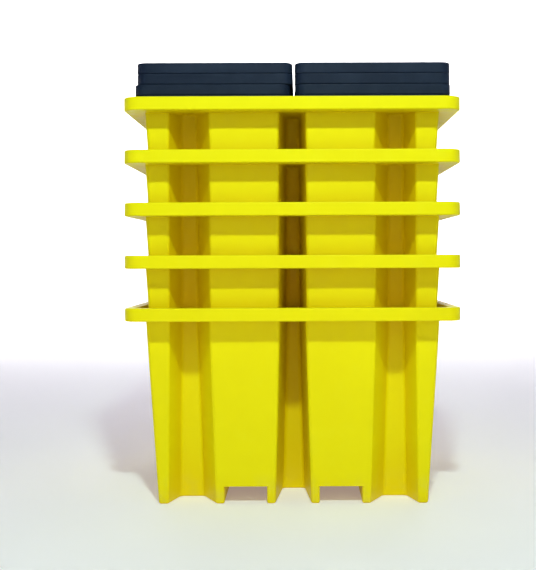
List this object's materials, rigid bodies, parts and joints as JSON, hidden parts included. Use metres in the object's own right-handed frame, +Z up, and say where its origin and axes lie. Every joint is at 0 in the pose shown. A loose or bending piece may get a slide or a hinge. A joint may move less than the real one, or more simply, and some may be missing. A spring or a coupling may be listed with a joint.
{
  "type": "spill containment pallet",
  "caption": "Stack of nested square plastic spill sumps with fork pockets, and piles of slotted deck gratings resting in the uppermost sump.",
  "frame": {"origin": "on the ground, at the middle of the lowest sump's footprint", "axes": "+Z up, -Y out of the front side with the fork pockets, +X to the right seen from the front"},
  "size_m": [1.546, 1.546, 2.051],
  "materials": {
    "sump_plastic": "rotationally moulded yellow polyethylene, satin",
    "grating_plastic": "moulded black polyethylene, satin"
  },
  "bodies": {
    "sump_1": {"sump_1": "sump_plastic"},
    "sump_2": {"sump_2": "sump_plastic"},
    "sump_3": {"sump_3": "sump_plastic"},
    "sump_4": {"sump_4": "sump_plastic"},
    "sump_5": {"sump_5": "sump_plastic"},
    "grating_front_left_1": {"grating_front_left_1": "grating_plastic"},
    "grating_front_left_2": {"grating_front_left_2": "grating_plastic"},
    "grating_front_left_3": {"grating_front_left_3": "grating_plastic"},
    "grating_front_left_4": {"grating_front_left_4": "grating_plastic"},
    "grating_front_right_1": {"grating_front_right_1": "grating_plastic"},
    "grating_front_right_2": {"grating_front_right_2": "grating_plastic"},
    "grating_front_right_3": {"grating_front_right_3": "grating_plastic"},
    "grating_front_right_4": {"grating_front_right_4": "grating_plastic"},
    "grating_rear_left_1": {"grating_rear_left_1": "grating_plastic"},
    "grating_rear_left_2": {"grating_rear_left_2": "grating_plastic"},
    "grating_rear_left_3": {"grating_rear_left_3": "grating_plastic"},
    "grating_rear_left_4": {"grating_rear_left_4": "grating_plastic"},
    "grating_rear_right_1": {"grating_rear_right_1": "grating_plastic"},
    "grating_rear_right_2": {"grating_rear_right_2": "grating_plastic"},
    "grating_rear_right_3": {"grating_rear_right_3": "grating_plastic"},
    "grating_rear_right_4": {"grating_rear_right_4": "grating_plastic"}
  },
  "joints": [
    {"name": "lift_sump_2", "type": "slide", "parent": "sump_1", "child": "sump_2", "axis": [0, 0, 1], "range_m": [0, 0.7]},
    {"name": "lift_sump_3", "type": "slide", "parent": "sump_2", "child": "sump_3", "axis": [0, 0, 1], "range_m": [0, 0.7]},
    {"name": "lift_sump_4", "type": "slide", "parent": "sump_3", "child": "sump_4", "axis": [0, 0, 1], "range_m": [0, 0.7]},
    {"name": "lift_sump_5", "type": "slide", "parent": "sump_4", "child": "sump_5", "axis": [0, 0, 1], "range_m": [0, 0.7]},
    {"name": "lift_grating_front_left_1", "type": "slide", "parent": "sump_5", "child": "grating_front_left_1", "axis": [0, 0, 1], "range_m": [0, 0.15]},
    {"name": "lift_grating_front_left_2", "type": "slide", "parent": "grating_front_left_1", "child": "grating_front_left_2", "axis": [0, 0, 1], "range_m": [0, 0.15]},
    {"name": "lift_grating_front_left_3", "type": "slide", "parent": "grating_front_left_2", "child": "grating_front_left_3", "axis": [0, 0, 1], "range_m": [0, 0.15]},
    {"name": "lift_grating_front_left_4", "type": "slide", "parent": "grating_front_left_3", "child": "grating_front_left_4", "axis": [0, 0, 1], "range_m": [0, 0.15]},
    {"name": "lift_grating_front_right_1", "type": "slide", "parent": "sump_5", "child": "grating_front_right_1", "axis": [0, 0, 1], "range_m": [0, 0.15]},
    {"name": "lift_grating_front_right_2", "type": "slide", "parent": "grating_front_right_1", "child": "grating_front_right_2", "axis": [0, 0, 1], "range_m": [0, 0.15]},
    {"name": "lift_grating_front_right_3", "type": "slide", "parent": "grating_front_right_2", "child": "grating_front_right_3", "axis": [0, 0, 1], "range_m": [0, 0.15]},
    {"name": "lift_grating_front_right_4", "type": "slide", "parent": "grating_front_right_3", "child": "grating_front_right_4", "axis": [0, 0, 1], "range_m": [0, 0.15]},
    {"name": "lift_grating_rear_left_1", "type": "slide", "parent": "sump_5", "child": "grating_rear_left_1", "axis": [0, 0, 1], "range_m": [0, 0.15]},
    {"name": "lift_grating_rear_left_2", "type": "slide", "parent": "grating_rear_left_1", "child": "grating_rear_left_2", "axis": [0, 0, 1], "range_m": [0, 0.15]},
    {"name": "lift_grating_rear_left_3", "type": "slide", "parent": "grating_rear_left_2", "child": "grating_rear_left_3", "axis": [0, 0, 1], "range_m": [0, 0.15]},
    {"name": "lift_grating_rear_left_4", "type": "slide", "parent": "grating_rear_left_3", "child": "grating_rear_left_4", "axis": [0, 0, 1], "range_m": [0, 0.15]},
    {"name": "lift_grating_rear_right_1", "type": "slide", "parent": "sump_5", "child": "grating_rear_right_1", "axis": [0, 0, 1], "range_m": [0, 0.15]},
    {"name": "lift_grating_rear_right_2", "type": "slide", "parent": "grating_rear_right_1", "child": "grating_rear_right_2", "axis": [0, 0, 1], "range_m": [0, 0.15]},
    {"name": "lift_grating_rear_right_3", "type": "slide", "parent": "grating_rear_right_2", "child": "grating_rear_right_3", "axis": [0, 0, 1], "range_m": [0, 0.15]},
    {"name": "lift_grating_rear_right_4", "type": "slide", "parent": "grating_rear_right_3", "child": "grating_rear_right_4", "axis": [0, 0, 1], "range_m": [0, 0.15]}
  ]
}
